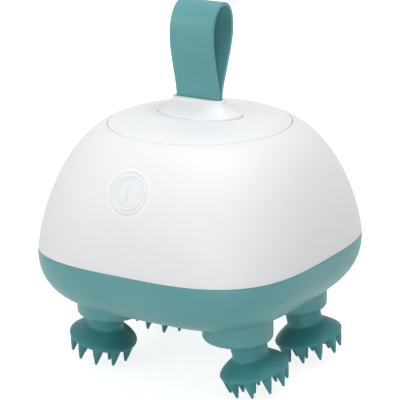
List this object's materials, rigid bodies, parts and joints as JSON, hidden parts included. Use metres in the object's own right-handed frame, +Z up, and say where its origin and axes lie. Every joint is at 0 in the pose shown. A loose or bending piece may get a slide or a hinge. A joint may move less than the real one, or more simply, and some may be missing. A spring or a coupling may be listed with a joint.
{
  "type": "electric pet massager",
  "caption": "Domed cordless pet massager with a strap loop, a power button and tilted silicone kneading heads that turn under a soft base.",
  "frame": {"origin": "middle of the body, on the plane that the kneading pins stand on", "axes": "+Z up through the dome and strap, the power button faces -Y, +X is to the right of someone facing the button from the front, seen along +Y"},
  "size_m": [0.1, 0.1, 0.1291],
  "materials": {
    "white_plastic": "smooth satin white moulded plastic",
    "teal_plastic": "soft satin teal moulded plastic",
    "teal_silicone": "soft matt teal silicone",
    "light_diffuser": "milky light diffuser",
    "black_plastic": "matt black switch housing",
    "circuit_board": "green solder mask on glass board",
    "steel": "plain bright steel",
    "motor_can": "plated steel can",
    "gear_plastic": "natural moulded acetal",
    "hub_plastic": "teal moulded plastic",
    "brass": "turned brass",
    "black_rubber": "black seal rubber",
    "cell_sleeve": "shrink sleeve",
    "red_wire": "soft wire jacket",
    "black_wire": "soft wire jacket"
  },
  "bodies": {
    "casing": {"top_shell": "white_plastic", "top_cap": "white_plastic", "strap_mount": "white_plastic", "strap": "teal_silicone", "strap_pin": "steel", "power_switch": "black_plastic", "control_board": "circuit_board", "board_screws": "steel", "charging_socket": "steel", "charging_board": "circuit_board", "lower_shell": "teal_plastic", "shell_gasket": "black_rubber", "case_screws": "steel", "gear_plate": "gear_plastic", "motor": "motor_can", "motor_screws": "steel", "idler_axle": "steel", "drive_axle": "steel", "battery_cell": "cell_sleeve", "battery_leads": "red_wire", "motor_leads": "black_wire", "front_left_bearing": "brass", "front_left_bush": "brass", "front_left_seal": "black_rubber", "front_right_bearing": "brass", "front_right_bush": "brass", "front_right_seal": "black_rubber", "rear_left_bearing": "brass", "rear_left_bush": "brass", "rear_left_seal": "black_rubber", "rear_right_bearing": "brass", "rear_right_bush": "brass", "rear_right_seal": "black_rubber"},
    "button": {"power_button": "white_plastic", "button_light": "light_diffuser", "switch_plunger": "black_plastic"},
    "port_flap": {"port_cover": "teal_silicone"},
    "rotor": {"motor_shaft": "steel", "motor_pinion": "brass"},
    "idler": {"idler_gear": "gear_plastic"},
    "drive": {"drive_gear": "gear_plastic"},
    "front_left": {"front_left_head": "teal_silicone", "front_left_hub": "hub_plastic", "front_left_shaft": "steel", "front_left_gear": "gear_plastic"},
    "front_right": {"front_right_head": "teal_silicone", "front_right_hub": "hub_plastic", "front_right_shaft": "steel", "front_right_gear": "gear_plastic"},
    "rear_left": {"rear_left_head": "teal_silicone", "rear_left_hub": "hub_plastic", "rear_left_shaft": "steel", "rear_left_gear": "gear_plastic"},
    "rear_right": {"rear_right_head": "teal_silicone", "rear_right_hub": "hub_plastic", "rear_right_shaft": "steel", "rear_right_gear": "gear_plastic"}
  },
  "joints": [
    {"name": "front_left_spin", "type": "hinge", "parent": "casing", "child": "front_left", "pos_m": [-0.0259, -0.01879, 0.01984], "axis": [0, 0, 1], "continuous": true},
    {"name": "front_right_spin", "type": "hinge", "parent": "casing", "child": "front_right", "pos_m": [0.0259, -0.01879, 0.01984], "axis": [0, 0, 1], "continuous": true},
    {"name": "rear_left_spin", "type": "hinge", "parent": "casing", "child": "rear_left", "pos_m": [-0.0259, 0.01879, 0.01984], "axis": [0, 0, 1], "continuous": true},
    {"name": "rear_right_spin", "type": "hinge", "parent": "casing", "child": "rear_right", "pos_m": [0.0259, 0.01879, 0.01984], "axis": [0, 0, 1], "continuous": true},
    {"name": "drive_spin", "type": "hinge", "parent": "casing", "child": "drive", "pos_m": [0, 0, 0.03724], "axis": [0, 0, 1], "continuous": true},
    {"name": "idler_spin", "type": "hinge", "parent": "casing", "child": "idler", "pos_m": [0, 0.0192, 0.03724], "axis": [0, 0, 1], "continuous": true},
    {"name": "motor_spin", "type": "hinge", "parent": "casing", "child": "rotor", "pos_m": [0, 0, 0.04624], "axis": [0, 0, 1], "continuous": true},
    {"name": "button_press", "type": "slide", "parent": "casing", "child": "button", "axis": [0, 0.9171, -0.3987], "range_m": [0, 0.0006], "stiffness_N_per_m": 2500, "springref_m": -0.0004},
    {"name": "port_cover_fold", "type": "hinge", "parent": "casing", "child": "port_flap", "pos_m": [0, 0.04879, 0.05508], "axis": [-1, 0, 0], "range_deg": [0, 90]}
  ],
  "couplings": [
    {"joint": "front_right_spin", "follows": "front_left_spin", "ratio": 1},
    {"joint": "rear_left_spin", "follows": "front_left_spin", "ratio": 1},
    {"joint": "rear_right_spin", "follows": "front_left_spin", "ratio": 1},
    {"joint": "drive_spin", "follows": "front_left_spin", "ratio": -1.2222},
    {"joint": "idler_spin", "follows": "front_left_spin", "ratio": 3.6667},
    {"joint": "motor_spin", "follows": "front_left_spin", "ratio": -19.8}
  ]
}
